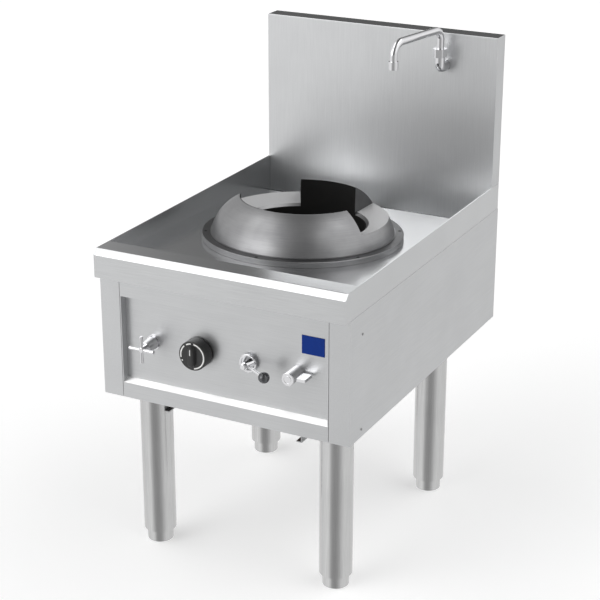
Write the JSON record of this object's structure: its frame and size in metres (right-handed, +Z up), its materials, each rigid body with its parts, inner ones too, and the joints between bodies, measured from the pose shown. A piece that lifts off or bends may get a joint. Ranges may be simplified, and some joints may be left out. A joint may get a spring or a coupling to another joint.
{
  "type": "gas wok range",
  "caption": "Free-standing stainless wok range with a domed ring, recessed tap and knob panel, tall backsplash with swivel spout, and round adjustable legs.",
  "frame": {"origin": "on the floor, under the middle of the worktop", "axes": "+Z up, the control panel faces -Y, +X to the right seen from the front"},
  "size_m": [0.602, 0.8664, 1.1144],
  "materials": {
    "stainless_sheet": "satin rolled sheet",
    "leg_tube": "satin drawn tube",
    "foot_alloy": "satin turned",
    "ring_steel": "spun and brushed",
    "screw_steel": "plain",
    "blue_plate": "blue enamel, bare",
    "cast_iron": "as cast",
    "zinc_plate": "zinc plated",
    "brass": "machined",
    "copper": "drawn tube",
    "gas_pipe_steel": "painted pipe",
    "water_pipe_steel": "drawn pipe",
    "black_plastic": "moulded",
    "white_marks": "printed marks",
    "chrome": "polished plating",
    "grey_ball": "moulded"
  },
  "bodies": {
    "range": {"back_panel": "stainless_sheet", "backsplash": "stainless_sheet", "badge_plate": "blue_plate", "base_frame": "stainless_sheet", "burner_body": "cast_iron", "burner_bracket": "stainless_sheet", "burner_cap": "cast_iron", "burner_rails": "stainless_sheet", "control_panel": "stainless_sheet", "cross_tap_body": "chrome", "drain_body": "stainless_sheet", "feed_pipe": "copper", "firebox": "stainless_sheet", "flame_sensor": "copper", "flange_screws": "screw_steel", "front_bezel": "stainless_sheet", "gas_pipe": "gas_pipe_steel", "gas_valve": "brass", "heat_shield": "stainless_sheet", "injector": "brass", "leg_bolts": "screw_steel", "leg_front_left": "leg_tube", "leg_front_right": "leg_tube", "leg_nuts": "screw_steel", "leg_plates": "stainless_sheet", "leg_plugs": "screw_steel", "leg_rear_left": "leg_tube", "leg_rear_right": "leg_tube", "lever_tap_body": "chrome", "pilot_burner": "brass", "pilot_pipe": "copper", "ring_flange": "ring_steel", "rinse_pipe": "water_pipe_steel", "side_panel_left": "stainless_sheet", "side_panel_right": "stainless_sheet", "side_screws": "screw_steel", "spout_backnut": "chrome", "spout_elbow": "chrome", "spout_pipe": "water_pipe_steel", "swivel_nut": "chrome", "water_pipe": "water_pipe_steel", "wing_tap_body": "chrome", "worktop": "stainless_sheet"},
    "cross_tap_handle": {"cross_handle": "chrome"},
    "knob_spindle": {"valve_spindle": "brass"},
    "knob": {"gas_knob": "black_plastic", "knob_marks": "white_marks"},
    "lever": {"lever_hub": "chrome", "lever_rod": "chrome", "lever_ball": "grey_ball"},
    "wing": {"wing_handle": "chrome"},
    "spout": {"spout_tube": "chrome", "spout_sleeve": "chrome"},
    "ring": {"wok_ring": "ring_steel"},
    "strainer": {"drain_strainer": "stainless_sheet"},
    "air_shutter": {"air_shutter": "zinc_plate"},
    "foot_front_left": {"foot_front_left": "foot_alloy"},
    "foot_front_right": {"foot_front_right": "foot_alloy"},
    "foot_rear_left": {"foot_rear_left": "foot_alloy"},
    "foot_rear_right": {"foot_rear_right": "foot_alloy"}
  },
  "joints": [
    {"name": "cross_tap_turn", "type": "hinge", "parent": "range", "child": "cross_tap_handle", "pos_m": [-0.1794, -0.4275, 0.526], "axis": [0, -1, 0], "range_deg": [0, 540]},
    {"name": "knob_push", "type": "slide", "parent": "range", "child": "knob_spindle", "axis": [0, 1, 0], "range_m": [0, 0.003], "stiffness_N_per_m": 1500, "springref_m": -0.004},
    {"name": "knob_turn", "type": "hinge", "parent": "knob_spindle", "child": "knob", "pos_m": [-0.0656, -0.398, 0.526], "axis": [0, -1, 0], "range_deg": [0, 210]},
    {"name": "lever_turn", "type": "hinge", "parent": "range", "child": "lever", "pos_m": [0.057, -0.394, 0.526], "axis": [0, -1, 0], "range_deg": [0, 90]},
    {"name": "wing_turn", "type": "hinge", "parent": "range", "child": "wing", "pos_m": [0.1703, -0.398, 0.526], "axis": [0, -1, 0], "range_deg": [0, 90]},
    {"name": "spout_swivel", "type": "hinge", "parent": "range", "child": "spout", "pos_m": [0.171, 0.337, 1.06], "axis": [0, 0, 1], "range_deg": [-78, 98]},
    {"name": "ring_lift", "type": "slide", "parent": "range", "child": "ring", "axis": [0, 0.0349, 0.9994], "range_m": [0, 0.12]},
    {"name": "strainer_lift", "type": "slide", "parent": "range", "child": "strainer", "axis": [0, 0, 1], "range_m": [0, 0.06]},
    {"name": "air_shutter_turn", "type": "hinge", "parent": "range", "child": "air_shutter", "pos_m": [0, -0.2085, 0.455], "axis": [0, 1, 0], "range_deg": [0, 60]},
    {"name": "foot_front_left_screw", "type": "slide", "parent": "range", "child": "foot_front_left", "axis": [0, 0, -1], "range_m": [0, 0.025]},
    {"name": "foot_rear_left_screw", "type": "slide", "parent": "range", "child": "foot_rear_left", "axis": [0, 0, -1], "range_m": [0, 0.025]},
    {"name": "foot_front_right_screw", "type": "slide", "parent": "range", "child": "foot_front_right", "axis": [0, 0, -1], "range_m": [0, 0.025]},
    {"name": "foot_rear_right_screw", "type": "slide", "parent": "range", "child": "foot_rear_right", "axis": [0, 0, -1], "range_m": [0, 0.025]}
  ]
}
